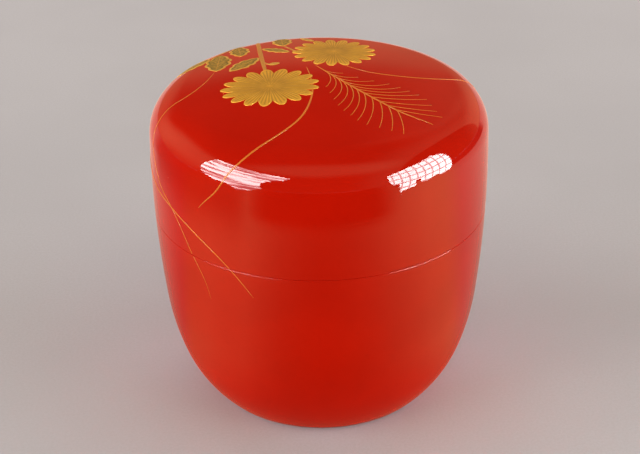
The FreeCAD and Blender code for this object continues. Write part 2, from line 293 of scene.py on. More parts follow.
def lid_inside(inset):
    """From the axis under the ceiling, down the skirt and out along the lower edge."""
    ceiling = Arc(0.0, DOME.z, DOME_RADIUS - LID_CEILING)
    corner_x = LID_INSIDE - LID_CORNER_RADIUS
    corner_z = ceiling.z + math.sqrt((ceiling.radius - LID_CORNER_RADIUS) ** 2 - corner_x ** 2)
    corner = Arc(corner_x, corner_z, LID_CORNER_RADIUS)
    lip = Arc(LID_INSIDE + LID_LIP_RADIUS, LID_SEAM + LID_LIP_RADIUS, LID_LIP_RADIUS)
    skirt, edge = LID_INSIDE + inset, LID_SEAM + inset
    section = Section().arc(ceiling, UP, ceiling.towards(corner), -inset)
    section.arc(corner, ceiling.towards(corner), 0, -inset).line((skirt, corner.z), (skirt, lip.z))
    section.arc(lip, math.pi, 3 * UP, inset, -1)
    return section.line((lip.x, edge), (SIDE.reach_at(edge, COAT), edge))


def black_lid():
    return turned("lid_black_lacquer", lid_inside(COAT).then(lid_inside(0.0).back()))


# Gold relief. It is drawn on the lacquer unrolled from the middle of the lid: the distance from
# the middle is the way along the outside, and the direction is the direction from the axis.
GOLD_HEIGHT = 0.08 * MM
SUNK = 0.02 * MM
FOLD_ANGLE = math.radians(45)
SEAM_BREAK = 0.1 * MM
EDGE_ROUNDING = 0.12 * MM
RIM_FADE = 0.1 * MM
CURVE_STEPS = 24

# Strokes: places along and across, and how fast they swell and rise from their pointed ends
STROKE_STEP = 0.25 * MM
STROKE_COLUMNS = 9
STROKE_SWELL = 0.35
STROKE_TIP = 0.004
STROKE_STEEPNESS = 0.45
FINE_HEIGHT = 0.06 * MM

OUTSIDE = [
    (DOME, UP, DOME.towards(SHOULDER)),
    (SHOULDER, DOME.towards(SHOULDER), SIDE.towards(SHOULDER)),
    (SIDE, SIDE.towards(SHOULDER), SIDE.angle_at(BELLY_HEIGHT)),
]
OUTSIDE_STARTS = np.cumsum([0.0] + [arc.radius * (start - end) for arc, start, end in OUTSIDE])


def laid(places, height):
    """Points on the outside, lifted by a height, from unrolled places."""
    track = np.hypot(places[..., 0], places[..., 1])
    azimuth = np.arctan2(places[..., 1], places[..., 0])
    reach, rise = np.zeros_like(track), np.zeros_like(track)
    for (arc, start, _), begin in zip(OUTSIDE, OUTSIDE_STARTS):
        here = track >= begin
        angle = start - (track - begin) / arc.radius
        reach = np.where(here, arc.x + (arc.radius + height) * np.cos(angle), reach)
        rise = np.where(here, arc.z + (arc.radius + height) * np.sin(angle), rise)
    return np.stack([reach * np.cos(azimuth), reach * np.sin(azimuth), rise], -1)


def from_above(places):
    """Unrolled places of points on the lid that are given in millimetres as seen from above."""
    places = np.array(places, float) * MM
    reach = np.hypot(places[..., 0], places[..., 1])
    on_dome = DOME.radius * (UP - np.arccos(np.clip(reach / DOME.radius, -1, 1)))
    shoulder = OUTSIDE[1]
    angle = np.arccos(np.clip((reach - SHOULDER.x) / SHOULDER.radius, -1, 1))
    on_shoulder = OUTSIDE_STARTS[1] + SHOULDER.radius * (shoulder[1] - angle)
    track = np.where(reach < DOME.at(shoulder[1])[0], on_dome, on_shoulder)
    return places * (track / np.maximum(reach, 1e-9))[..., None]


def down_side(azimuth, share):
    """Unrolled place at a share of the way from the shoulder's fold down to the seam."""
    fold = SHOULDER.at(FOLD_ANGLE)[1]
    height = fold + share * (BODY_SEAM - fold)
    arc, begin = (SHOULDER, 1) if height > SHOULDER.at(SIDE.towards(SHOULDER))[1] else (SIDE, 2)
    track = OUTSIDE_STARTS[begin] + arc.radius * (OUTSIDE[begin][1] - arc.angle_at(height))
    turn = math.radians(azimuth)
    return track * math.cos(turn), track * math.sin(turn)


def smooth_line(points, step=STROKE_STEP):
    """Evenly spaced places on a smooth line through the points."""
    points = np.array(points)
    ends = np.vstack([2 * points[0] - points[1], points, 2 * points[-1] - points[-2]])
    knots = np.concatenate([[0], np.cumsum(np.sqrt(np.linalg.norm(np.diff(ends, axis=0), axis=1)))])
    dense = []
    for k in range(1, len(ends) - 2):
        t0, t1, t2, t3 = knots[k - 1:k + 3]
        p0, p1, p2, p3 = ends[k - 1:k + 3]
        t = np.linspace(t1, t2, CURVE_STEPS, endpoint=False)[:, None]
        a1 = (t1 - t) / (t1 - t0) * p0 + (t - t0) / (t1 - t0) * p1
        a2 = (t2 - t) / (t2 - t1) * p1 + (t - t1) / (t2 - t1) * p2
        a3 = (t3 - t) / (t3 - t2) * p2 + (t - t2) / (t3 - t2) * p3
        b1 = (t2 - t) / (t2 - t0) * a1 + (t - t0) / (t2 - t0) * a2
        b2 = (t3 - t) / (t3 - t1) * a2 + (t - t1) / (t3 - t1) * a3
        dense.append((t2 - t) / (t2 - t1) * b1 + (t - t1) / (t2 - t1) * b2)
    dense = np.vstack(dense + [points[-1:]])
    way = np.concatenate([[0], np.cumsum(np.linalg.norm(np.diff(dense, axis=0), axis=1))])
    even = np.linspace(0, way[-1], max(8, round(way[-1] / step)) + 1)
    return np.stack([np.interp(even, way, dense[:, axis]) for axis in (0, 1)], -1)


def flat_back(v):
    """Height across a stroke: flat, with rounded edges."""
    return np.sqrt(np.maximum(1 - v ** 6, 0))


class Relief:
    """Closed gold forms of one piece, with marks for engraved grooves, borders, leaves and lines."""

    MARKS = ("groove", "border", "leaf", "line")

    def __init__(self):
        self.verts, self.faces, self.marks = [], [], {mark: [] for mark in self.MARKS}
        self.count = 0

    def add(self, verts, faces, **marks):
        self.verts.append(verts)
        self.faces += [tuple(index + self.count for index in face) for face in faces]
        for mark in self.MARKS:
            self.marks[mark].append(np.broadcast_to(marks.get(mark, 0.0), len(verts)))
        self.count += len(verts)

    def ribbon(self, way, half, columns, lift, **marks):
        """Long form of a half width along a way. lift(u, v) gives its height, groove and border,
        with u along and v across; pointed ends are where the half width runs out."""
        heading = np.gradient(way, axis=0)
        heading /= np.linalg.norm(heading, axis=1)[:, None]
        across = np.stack([-heading[:, 1], heading[:, 0]], -1)
        v = np.sin(np.linspace(-UP, UP, columns))
        u = np.linspace(0, 1, len(way))[:, None] + 0 * v
        height, groove, border = [np.broadcast_to(value, u.shape) for value in lift(u, v + 0 * u)]
        top = way[:, None] + across[:, None] * (v * half[:, None])[..., None]
        under = top[:, ::-(columns - 1)]
        ring = columns + 2
        verts = np.concatenate([laid(top, height), laid(under, -SUNK)], 1).reshape(-1, 3)
        pad = np.zeros((len(way), 2))
        faces = []
        last = (len(way) - 1) * ring
        for row in range(0, last, ring):
            for k in range(ring):
                after = (k + 1) % ring
                faces.append((row + k, row + after, row + ring + after, row + ring + k))
        faces.append(tuple(range(ring))[::-1])
        faces.append(tuple(range(last, last + ring)))
        self.add(verts, faces, groove=np.hstack([groove, pad]).ravel(),
                 border=np.hstack([border, pad]).ravel(), **marks)

    def strand(self, line, half, columns, height, steepness, orange=1.0):
        """Ribbon with a flat back, which is lower where it is narrow."""
        rise = np.minimum(height, steepness * half)[:, None]
        self.ribbon(line, half, columns, lambda u, v: (rise * flat_back(v), 0.0, 0.0), line=orange)

    def stroke(self, line, width, height, keep=None, swell=STROKE_SWELL, orange=1.0):
        """Brush stroke with a flat back that swells from pointed ends. keep marks what stays."""
        share = np.linspace(0, 1, len(line))
        half = width / 2 * np.maximum(np.sin(math.pi * share), STROKE_TIP) ** swell
        if keep is not None:
            line, half = line[keep], half[keep]
        self.strand(line, half, STROKE_COLUMNS, height, STROKE_STEEPNESS, orange)

    def piece(self, name, body, node, slot, material):
        mesh = smooth_mesh(name, np.vstack(self.verts), self.faces)
        for mark, values in self.marks.items():
            mesh.attributes.new(mark, "FLOAT", "POINT").data.foreach_set("value", np.concatenate(values))
        placed(name, mesh, body, node, material)


def bell(value, width):
    return np.exp(-(value / width) ** 2)


def fade(value, start, end):
    """0 up to one limit and 1 from the other, and straight between them."""
    return np.clip((value - start) / (end - start), 0, 1)


def rounded(height, inward):
    """Height that rounds off into the lacquer at an outer edge, by the distance from that edge."""
    share = np.sqrt(1 - fade(inward, EDGE_ROUNDING, 0) ** 2)
    return height * share - SUNK * (1 - share)


# Chrysanthemums: petals with engraved lines round a small stippled eye
PETALS = 17
PETAL_NOTCH = 2.3 * MM
PETAL_COLUMNS = 28
PETAL_LINES = (-0.5, 0.0, 0.5)
PETAL_LINE_WIDTH = 0.12 * MM
PETAL_GROOVE_WIDTH = 0.15 * MM
PETAL_RIM = 0.34 * MM
FLOWER_RINGS = 44
EYE_RADIUS = 0.6 * MM
EYE_DOTS = 9
EYE_DOT_RINGS = 3
EYE_TOP = 0.9 * GOLD_HEIGHT

# Middle as seen from above, width and depth, in millimetres
FRONT_FLOWER = ((-9.2, -3.3), 19.0, 16.9)
BACK_FLOWER = ((3.3, 15.1), 16.9, 18.1)


def flower(centre, width, depth):
    relief = Relief()
    middle = from_above([centre])[0]
    half = np.array([width, depth]) / 2 * MM
    across = np.sin(np.linspace(-UP, UP, PETAL_COLUMNS, endpoint=False))
    turn = ((np.arange(PETALS)[:, None] + 0.5 + across / 2) * 2 * math.pi / PETALS).ravel()
    across = np.tile(across, PETALS)
    inset = PETAL_NOTCH * across ** 2
    outline = half.mean() - inset
    share = np.sin(np.linspace(0, UP, FLOWER_RINGS + 1)[1:])[:, None]
    reach = share * outline
    petal_half = math.pi / PETALS * reach
    between = bell((1 - np.abs(across)) * petal_half, PETAL_GROOVE_WIDTH) * (reach > EYE_RADIUS)
    between = between * (0.5 + 0.5 * fade(share, 0.45, 0.8))
    lines = np.clip(sum(bell((across - at) * petal_half, PETAL_LINE_WIDTH) for at in PETAL_LINES), 0, 1)
    lines = lines * np.maximum(fade(share, 0.07, 0.32), 0.3) * fade(share, 0.95, 0.89)
    border = fade(outline - reach, PETAL_RIM, PETAL_RIM - RIM_FADE)
    eye = np.clip(1 - (reach / EYE_RADIUS) ** 2, 0, 1)
    dots = 0.5 + 0.5 * np.cos(EYE_DOTS * turn) * np.cos(EYE_DOT_RINGS * math.pi * reach / EYE_RADIUS)
    crown = (1 - across ** 2) * fade(share, 0, 0.6)
    form = 0.66 + 0.3 * crown - 0.4 * between - 0.14 * lines + 0.1 * border + 0.2 * eye * dots
    height = rounded(GOLD_HEIGHT * form, outline - reach)
    count = len(turn)
    spread = (half - inset[:, None]) * np.stack([np.cos(turn), np.sin(turn)], -1)
    places = middle + share[..., None] * spread
    top = laid(places, height).reshape(-1, 3)
    eye_top = laid(middle[None], EYE_TOP)
    under = laid(places[-1], -2 * SUNK)
    verts = np.vstack([top, eye_top, under, laid(middle[None], -2 * SUNK)])
    last = (FLOWER_RINGS - 1) * count
    heart, rim, root = last + count, last + count + 1, len(verts) - 1
    faces = []
    for k in range(count):
        after = (k + 1) % count
        faces.append((heart, k, after))
        for row in range(0, last, count):
            faces.append((row + k, row + count + k, row + count + after, row + after))
        faces.append((last + k, rim + k, rim + after, last + after))
        faces.append((root, rim + after, rim + k))
    pad = np.zeros(count + 2)
    grooves = np.clip(between + 0.95 * lines + 0.4 * eye * (1 - dots), 0, 1)
    relief.add(verts, faces, groove=np.concatenate([grooves.ravel(), pad]),
               border=np.concatenate([border.ravel(), pad]))
    return relief


# Leaves, stems and a bud on the lid, in millimetres as seen from above
LEAVES = [
    ((-21.6, 16.0), (-28.0, 10.0), 3.4),
    ((-19.6, 17.2), (-20.0, 7.2), 5.6),
    ((-16.4, 22.2), (-15.3, 14.9), 4.3),
    ((-11.7, 12.8), (-17.3, 6.2), 3.9),
    ((-11.3, 19.0), (-5.6, 15.4), 2.7),
    ((-7.6, 27.2), (-7.0, 20.2), 4.3),
    ((-3.6, 26.4), (-0.7, 23.2), 1.5),
]
LEAF_SCALLOPS = 4
LEAF_VEINS = 6
LEAF_STEP = 0.16 * MM
LEAF_COLUMNS = 31
LEAF_TIP = 0.0004
LEAF_FULLNESS = 0.8
SCALLOP_DEPTH = 0.17
LEAF_RIM = 0.56 * MM
LEAF_GROOVE_PLACE = 0.68 * MM
LEAF_GROOVE_WIDTH = 0.11 * MM
LEAF_INSIDE = 0.72 * MM
MIDRIB_WIDTH = 0.09 * MM
VEIN_WIDTH = 0.08 * MM
VEIN_LEAN = 0.22
STEM_HEIGHT = 0.055 * MM
STEM_SWELL = 0.12
STEM_ORANGE = 0.4
STEMS = [
    ([(-12.5, 29.0), (-12.0, 21.0), (-11.4, 14.5), (-10.3, 5.0)], 0.9),
    ([(-12.4, 27.0), (-15.4, 24.2), (-18.3, 20.4), (-21.4, 16.2)], 0.5),
    ([(-12.4, 29.2), (-10.2, 28.6), (-7.5, 26.6)], 0.5),
    ([(-7.1, 20.6), (-5.8, 18.2), (-4.2, 15.4)], 0.5),
    ([(-11.0, 10.6), (-10.2, 8.8), (-9.0, 8.0)], 0.5),
]
BUD = ((-9.76, 7.99), (-7.44, 8.61), 1.4)


def leaf(relief, foot, tip, width, veins=LEAF_VEINS, scallops=LEAF_SCALLOPS):
    """Leaf with a scalloped outline, a rim and veins. Without veins and scallops it is a bud."""
    line = smooth_line(from_above(np.linspace(foot, tip, 5)), LEAF_STEP)
    u = np.linspace(0, 1, len(line))
    swell = np.maximum(1 - (2 * u - 1) ** 2, LEAF_TIP) ** LEAF_FULLNESS
    lobes = 1 - SCALLOP_DEPTH * np.abs(np.cos(math.pi * scallops * u)) ** 3 if scallops else 1.0
    half = width / 2 * MM * swell * lobes

    def lift(u, v):
        side = np.abs(v)
        inward = (1 - side) * half[:, None]
        midrib = bell(v * half[:, None], MIDRIB_WIDTH)
        row = (u - VEIN_LEAN * side) * veins
        side_veins = bell((row - np.round(row)) / max(veins, 1) * math.dist(foot, tip) * MM, VEIN_WIDTH)
        side_veins = side_veins * fade(u, 0, 0.08)
        inner = fade(inward, LEAF_INSIDE, LEAF_INSIDE + RIM_FADE)
        vein = np.clip(midrib + 0.7 * side_veins, 0, 1) * inner * (veins > 0)
        border = np.maximum(fade(inward, LEAF_RIM, LEAF_RIM - RIM_FADE), 0.75 * vein)
        groove = bell(inward - LEAF_GROOVE_PLACE, LEAF_GROOVE_WIDTH) * (veins > 0)
        form = 0.68 + 0.12 * (1 - v * v) - 0.3 * groove + 0.2 * border
        height = np.minimum(GOLD_HEIGHT * form, 0.5 * half[:, None])
        return rounded(height, inward), groove, border

    relief.ribbon(line, half, LEAF_COLUMNS, lift, leaf=float(veins > 0))


def leaf_spray():
    relief = Relief()
    for points, width in STEMS:
        line = smooth_line(from_above(points))
        relief.stroke(line, width * MM, STEM_HEIGHT, swell=STEM_SWELL, orange=STEM_ORANGE)
    for shape in LEAVES:
        leaf(relief, *shape)
    leaf(relief, *BUD, veins=0, scallops=0)
    return relief


# Grass plume: an arching stem with curved hairs on both sides. Sizes are in millimetres, places as
# seen from above, and the headings in which a hair starts and ends are in degrees.
PLUME_STEM = [(-0.5, 6.5), (2.7, 1.15), (7.0, -5.05), (11.4, -10.3), (15.35, -14.2)]
PLUME_TIP = (20.8, -17.6)
PLUME_STEM_WIDTH = 0.42
PLUME_STEM_STEP = 0.05
FIRST_HAIR, LAST_HAIR = 0.13, 0.95
HAIRS_PER_SIDE = 11
HAIR_WIDTH = 0.21
HAIR_HEIGHT = 0.05
HAIR_STEEPNESS = 0.5
HAIR_TIP = 0.45
HAIR_POINTS = 24
HAIR_COLUMNS = 7
LOWER_HAIRS = {"length": (8.6, 11.2, 11.0, 8.5), "start": (-60, -70, -84, -76),
               "end": (-120, -126, -114, -94)}
UPPER_HAIRS = {"length": (4.1, 10.2, 10.7, 8.4), "start": (-50, -40, -9, -16), "end": (7, 40, 19, 0)}


def plume():
    relief = Relief()
    relief.stroke(smooth_line(from_above(PLUME_STEM + [PLUME_TIP])), PLUME_STEM_WIDTH * MM, FINE_HEIGHT)
    stem = smooth_line(PLUME_STEM, PLUME_STEM_STEP)
    for hairs in (LOWER_HAIRS, UPPER_HAIRS):
        spans = np.linspace(0, 1, len(hairs["length"]))
        for share in np.linspace(0, 1, HAIRS_PER_SIDE):
            foot = stem[round((FIRST_HAIR + share * (LAST_HAIR - FIRST_HAIR)) * (len(stem) - 1))]
            length, start, end = [np.interp(share, spans, hairs[key]) for key in ("length", "start", "end")]
            headings = np.radians(np.linspace(start, end, HAIR_POINTS))
            moves = np.stack([np.cos(headings), np.sin(headings)], -1) * length / (HAIR_POINTS - 1)
            line = smooth_line(from_above(foot + np.vstack([[0, 0], np.cumsum(moves[:-1], 0)])))
            half = HAIR_WIDTH / 2 * MM * np.linspace(1, HAIR_TIP, len(line))
            relief.strand(line, half, HAIR_COLUMNS, HAIR_HEIGHT * MM, HAIR_STEEPNESS)
    return relief


# Grass blades: points on the lid from above, then azimuth and share of the way down to the seam
BLADES = [
    ([(-20.2, 7.0), (-21.6, 2.4), (-23.3, -1.1), (-25.9, -4.6), (-28.9, -6.9)],
     [(-164.4, 0.1), (-161.9, 0.3), (-156.2, 0.506), (-147.3, 0.648), (-141.9, 0.795), (-137.3, 0.976),
      (-131.3, 1.234), (-129.8, 1.38)], 0.25),
    ([(-27.0, 10.6), (-29.0, 9.7)],
     [(166.5, 0.2), (183.0, 0.46), (199.4, 0.585), (213.1, 0.648), (225.2, 0.762), (238.6, 0.978),
      (247.4, 1.23)], 0.31),
    ([(-2.2, 5.6), (-1.4, 0.0), (-1.2, -8.0), (-3.3, -16.6), (-8.0, -23.0), (-11.7, -26.2)],
     [(-120.2, 0.099), (-124.7, 0.28), (-132.3, 0.495)], 0.38),
    ([(4.6, 6.8), (9.6, 3.1), (16.2, 1.6), (22.7, 2.0), (27.3, 3.4)],
     [(14.0, 0.15), (20.0, 0.36)], 0.24),
]


def blades(upper):
    """Grass blades above the seam, or below it."""
    relief = Relief()
    for top, side, width in BLADES:
        line = smooth_line(np.vstack([from_above(top), [down_side(*place) for place in side]]))
        height = laid(line, np.zeros(len(line)))[:, 2]
        keep = height > LID_SEAM + SEAM_BREAK if upper else height < BODY_SEAM - SEAM_BREAK
        if keep.any():
            relief.stroke(line, width * MM, FINE_HEIGHT, keep)
    return relief


class Nodes:
    """Node tree, with short calls for its nodes."""

    def __init__(self, tree):
        self.tree = tree

    def put(self, socket, value):
        if isinstance(value, bpy.types.NodeSocket):
            self.tree.links.new(value, socket)
        elif value is not None:
            socket.default_value = value

    def node(self, kind, inputs=(), **settings):
        node = self.tree.nodes.new(kind)
        for key, value in settings.items():
            setattr(node, key, value)
        for key, value in dict(inputs).items():
            self.put(node.inputs[key], value)
        return node

    def math(self, operation, first, second=None):
        values = {0: first} if second is None else {0: first, 1: second}
        return self.node("ShaderNodeMath", values, operation=operation).outputs[0]

    def product(self, first, *others):
        for other in others:
            first = self.math("MULTIPLY", first, other)
        return first

    def total(self, first, *others):
        for other in others:
            first = self.math("ADD", first, other)
        return first

    def step(self, value, low, high, start=0.0, end=1.0):
        """Value that goes smoothly from start to end between two limits."""
        limits = {"Value": value, "From Min": low, "From Max": high, "To Min": start, "To Max": end}
        return self.node("ShaderNodeMapRange", limits, interpolation_type="SMOOTHSTEP").outputs["Result"]

    def mix(self, share, first, second):
        node = self.node("ShaderNodeMix", data_type="RGBA")
        for socket, value in zip((node.inputs[0], node.inputs[6], node.inputs[7]), (share, first, second)):
            self.put(socket, value)
        return node.outputs[2]

    def axes(self, place):
        return self.node("ShaderNodeSeparateXYZ", {0: place}).outputs


class Shader(Nodes):
    """Material with its node tree."""

    def __init__(self, name):
        self.material = bpy.data.materials.new(name)
        self.material.use_nodes = True
        super().__init__(self.material.node_tree)
        self.principled = self.tree.nodes["Principled BSDF"]
        self.place = self.node("ShaderNodeTexCoord").outputs["Object"]

    def noise(self, scale, detail, place=None, roughness=0.5):
        values = {"Vector": place or self.place, "Scale": scale, "Detail": detail, "Roughness": roughness}
        return self.node("ShaderNodeTexNoise", values).outputs["Fac"]

    def mark(self, name):
        return self.node("ShaderNodeAttribute", attribute_name=name).outputs["Fac"]

    def bump(self, height, distance, below=None):
        values = {"Height": height, "Distance": distance, "Strength": 1.0, "Normal": below}
        return self.node("ShaderNodeBump", values).outputs["Normal"]

    def height(self):
        return self.axes(self.place)[2]

    def reach(self):
        """Distance from the axis."""
        x, y, _ = self.axes(self.place)
        return self.math("SQRT", self.total(self.product(x, x), self.product(y, y)))

    def bearing(self):
        """Direction from the axis: 0 is towards the camera, and it grows to the right."""
        x, y, _ = self.axes(self.place)
        return self.math("ARCTAN2", x, self.product(y, -1.0))

    def along_turning(self, around, along):
        """Place stretched round the axis, as marks of turning and brushing are."""
        x, y, z = self.axes(self.place)
        reach = self.reach()
        safe = self.math("MAXIMUM", reach, 1e-4)
        way = self.product(self.math("SUBTRACT", z, reach), along)
        turn = [self.product(self.math("DIVIDE", axis, safe), around) for axis in (x, y)]
        return self.node("ShaderNodeCombineXYZ", {0: turn[0], 1: turn[1], 2: way}).outputs[0]

    def specks(self, scale, size, share):
        """Few small round specks: a share of the cells has one."""
        cells = self.node("ShaderNodeTexVoronoi", {"Vector": self.place, "Scale": scale})
        near = self.step(cells.outputs["Distance"], size, 0.6 * size)
        pick = self.node("ShaderNodeSeparateColor", {0: cells.outputs["Color"]}).outputs[0]
        return self.product(near, self.math("GREATER_THAN", pick, 1 - share))

    def finish(self, **inputs):
        for key, value in inputs.items():
            self.put(self.principled.inputs[key.replace("_", " ")], value)
        return self.material

    def glowing(self, colour, strength=1.0):
        """Material that only shines."""
        return self.finish(Base_Color=(0, 0, 0, 1), Specular_IOR_Level=0.0, Emission_Color=colour,
                           Emission_Strength=strength)


# Lacquer
LACQUER_IOR = 1.36
RED_ROUGHNESS, BLACK_ROUGHNESS = 0.02, 0.09
SMUDGE_ROUGHNESS, SCUFF_ROUGHNESS = 0.03, 0.04
LACQUER_RELIEF = 5e-6
RED_DEEP, RED_BRIGHT = (0.475, 0.0054, 0.0004, 1), (0.525, 0.0064, 0.0005, 1)
RED_GRAIN = (0.42, 0.0054, 0.0004, 1)
# Dark tone for the lowest half millimetre of the foot, where it meets the floor
FOOT_DARKENING = (0.085, 0.012, 0.008, 1)
FOOT_DARKENING_HEIGHTS = (0.5 * MM, 0.1 * MM)
RED_DUST = (0.75, 0.30, 0.24, 1)
BLACK_DEEP, BLACK_BRIGHT = (0.008, 0.006, 0.005, 1), (0.020, 0.014, 0.011, 1)
BLACK_RINGS = (0.030, 0.018, 0.013, 1)
BLACK_DUST = (0.20, 0.19, 0.15, 1)


def lacquer_surface(shader, smooth):
    """Roughness and normal that all lacquer shares: smudges, brush marks and a faint orange peel."""
    smudges = shader.noise(45, 4)
    scuffs = shader.noise(1.0, 5, shader.along_turning(9, 2600), 0.7)
    roughness = shader.total(shader.step(smudges, 0.35, 0.75, smooth, smooth + SMUDGE_ROUGHNESS),
                             shader.step(scuffs, 0.62, 0.78, 0.0, SCUFF_ROUGHNESS))
    marks = shader.noise(1.0, 3, shader.along_turning(3.5, 900))
    peel = shader.bump(shader.noise(260, 2), LACQUER_RELIEF)
    return roughness, shader.bump(marks, LACQUER_RELIEF, peel)


def red_lacquer():
    """Vermilion with a faint grain and dust, darker and mottled at the very bottom of the foot."""
    shader = Shader("red_lacquer")
    tone = shader.mix(shader.step(shader.noise(60, 4), 0.3, 0.7), RED_DEEP, RED_BRIGHT)
    tone = shader.mix(shader.step(shader.noise(900, 2), 0.55, 0.8, 0.0, 0.25), tone, RED_GRAIN)
    # Darker, mottled band at the bottom of the foot
    foot_darkening = shader.product(shader.step(shader.height(), *FOOT_DARKENING_HEIGHTS),
                          shader.step(shader.noise(420, 3), 0.35, 0.6, 0.25, 0.8))
    tone = shader.mix(foot_darkening, tone, FOOT_DARKENING)
    dust = shader.math("MAXIMUM", shader.specks(150, 0.022, 0.16), shader.specks(320, 0.03, 0.05))
    colour = shader.mix(shader.product(dust, 0.6), tone, RED_DUST)
    roughness, normal = lacquer_surface(shader, RED_ROUGHNESS)
    roughness = shader.math("MAXIMUM", roughness, shader.product(dust, 0.5))
    return shader.finish(Base_Color=colour, Roughness=roughness, Normal=normal, IOR=LACQUER_IOR)


def black_lacquer():
    """Brownish black with rings of turning and dust."""
    shader = Shader("black_lacquer")
    tone = shader.mix(shader.step(shader.noise(55, 4), 0.3, 0.7), BLACK_DEEP, BLACK_BRIGHT)
    rings = shader.step(shader.noise(1.0, 4, shader.along_turning(2, 700)), 0.45, 0.7, 0.0, 0.5)
    tone = shader.mix(rings, tone, BLACK_RINGS)
    colour = shader.mix(shader.product(shader.specks(260, 0.03, 0.12), 0.5), tone, BLACK_DUST)
    roughness, normal = lacquer_surface(shader, BLACK_ROUGHNESS)
    return shader.finish(Base_Color=colour, Roughness=roughness, Normal=normal, IOR=LACQUER_IOR)


WOOD_DARK, WOOD_LIGHT = (0.46, 0.29, 0.15, 1), (0.62, 0.43, 0.25, 1)
WOOD_PORES = (0.26, 0.15, 0.07, 1)
WOOD_PORE_DEPTH = 2e-5
TREE_HEART = (0.03, -0.045, 0)


def turned_wood():
    """Close-grained wood under the lacquer, with its growth rings across the axis."""
    shader = Shader("turned_wood")
    stretch = shader.node("ShaderNodeMapping", {"Vector": shader.place, "Scale": (1.0, 1.0, 0.12)}).outputs[0]
    bend = shader.node("ShaderNodeVectorMath", {0: stretch, 1: TREE_HEART}, operation="ADD").outputs[0]
    rings = shader.node("ShaderNodeTexWave", {"Vector": bend, "Scale": 160, "Distortion": 3.5, "Detail": 3,
                                              "Detail Scale": 1.5}, wave_type="RINGS").outputs["Fac"]
    pores = shader.noise(1500, 2, stretch)
    tone = shader.mix(rings, WOOD_DARK, WOOD_LIGHT)
    colour = shader.mix(shader.step(pores, 0.58, 0.75, 0.0, 0.6), tone, WOOD_PORES)
    return shader.finish(Base_Color=colour, Roughness=shader.step(pores, 0.3, 0.8, 0.5, 0.75),
                         Normal=shader.bump(pores, WOOD_PORE_DEPTH))


# Gold tones: bright, deep, in grooves and on rims
YELLOW_GOLD = [(0.78, 0.38, 0.026, 1), (0.65, 0.30, 0.018, 1), (0.26, 0.115, 0.010, 1), (0.84, 0.44, 0.05, 1)]
GREEN_GOLD = [(0.60, 0.30, 0.05, 1), (0.50, 0.24, 0.04, 1), (0.14, 0.08, 0.012, 1), (0.74, 0.38, 0.06, 1)]
LINE_GOLD = (0.67, 0.18, 0.028, 1)
WORN_GOLD = (0.40, 0.06, 0.012, 1)
LEAF_DEEP, LEAF_BRIGHT = (0.22, 0.130, 0.014, 1), (0.48, 0.262, 0.030, 1)
LEAF_GROOVE = (0.11, 0.08, 0.016, 1)
GOLD_METALLIC = 0.2
GOLD_SPECULAR = 0.2
POWDER_DEPTH = 1.2e-5


def gold(shader, bright, deep, groove, rim):
    """Sprinkled and burnished gold powder, darker in its engraved lines and lighter on its rims."""
    lines, grooves = shader.mark("line"), shader.mark("groove")
    grain = shader.noise(9000, 2)
    tone = shader.mix(shader.step(shader.noise(320, 4), 0.3, 0.7), deep, bright)
    tone = shader.mix(shader.step(grain, 0.5, 0.75, 0.0, 0.35), tone, groove)
    tone = shader.mix(shader.product(shader.mark("border"), 0.7), tone, rim)
    tone = shader.mix(lines, tone, LINE_GOLD)
    colour = shader.mix(shader.product(grooves, 0.75), tone, groove)
    colour = shader.mix(shader.step(shader.noise(700, 4), 0.66, 0.78, 0.0, 0.35), colour, WORN_GOLD)
    roughness = shader.total(shader.step(grain, 0.3, 0.7, 0.4, 0.54), shader.product(grooves, 0.15))
    roughness = shader.product(roughness, shader.step(lines, 0.5, 1.0, 1.0, 0.4))
    powder = shader.product(grain, shader.step(lines, 0.5, 1.0, 1.0, 0.15))
    shader.finish(Roughness=roughness, Metallic=shader.step(lines, 0.5, 1.0, GOLD_METALLIC, 0.0),
                  Specular_IOR_Level=GOLD_SPECULAR, Normal=shader.bump(powder, POWDER_DEPTH))
    return colour


def yellow_gold():
    shader = Shader("gold")
    return shader.finish(Base_Color=gold(shader, *YELLOW_GOLD))


def green_gold():
    """Gold with greenish powder inside the rims of the leaves."""
    shader = Shader("green_gold")
    colour = gold(shader, *GREEN_GOLD)
    green = shader.mix(shader.step(shader.noise(1700, 2), 0.42, 0.62), LEAF_DEEP, LEAF_BRIGHT)
    green = shader.mix(shader.mark("groove"), green, LEAF_GROOVE)
    inside_rim = shader.product(shader.mark("leaf"), shader.step(shader.mark("border"), 0.9, 0.1))
    return shader.finish(Base_Color=shader.mix(shader.product(inside_rim, 0.9), colour, green))


# Photo camera
PHOTO_WIDTH = 640
FOCAL_PIXELS = 1500.0
CAMERA_PLACE = Vector((0.0, -0.26662, 0.17701))
CAMERA_PITCH = 0.49405
CAMERA_YAW = -0.00049
CAMERA_ROLL = -0.01773
SENSOR_WIDTH = 36
NEAREST = 0.01


def camera():
    data = bpy.data.cameras.new("camera")
    data.sensor_width = SENSOR_WIDTH
    data.lens = SENSOR_WIDTH * FOCAL_PIXELS / PHOTO_WIDTH
    data.clip_start = NEAREST
    forward = Vector((math.sin(CAMERA_YAW) * math.cos(CAMERA_PITCH),
                      math.cos(CAMERA_YAW) * math.cos(CAMERA_PITCH), -math.sin(CAMERA_PITCH)))
    level = forward.cross(Vector((0, 0, 1))).normalized()
    upright = level.cross(forward)
    right = level * math.cos(CAMERA_ROLL) + upright * math.sin(CAMERA_ROLL)
    up = upright * math.cos(CAMERA_ROLL) - level * math.sin(CAMERA_ROLL)
    obj = linked("camera", data)
    turned_to = Matrix((right, up, -forward)).transposed().to_4x4()
    obj.matrix_world = Matrix.Translation(CAMERA_PLACE) @ turned_to
    bpy.context.scene.camera = obj


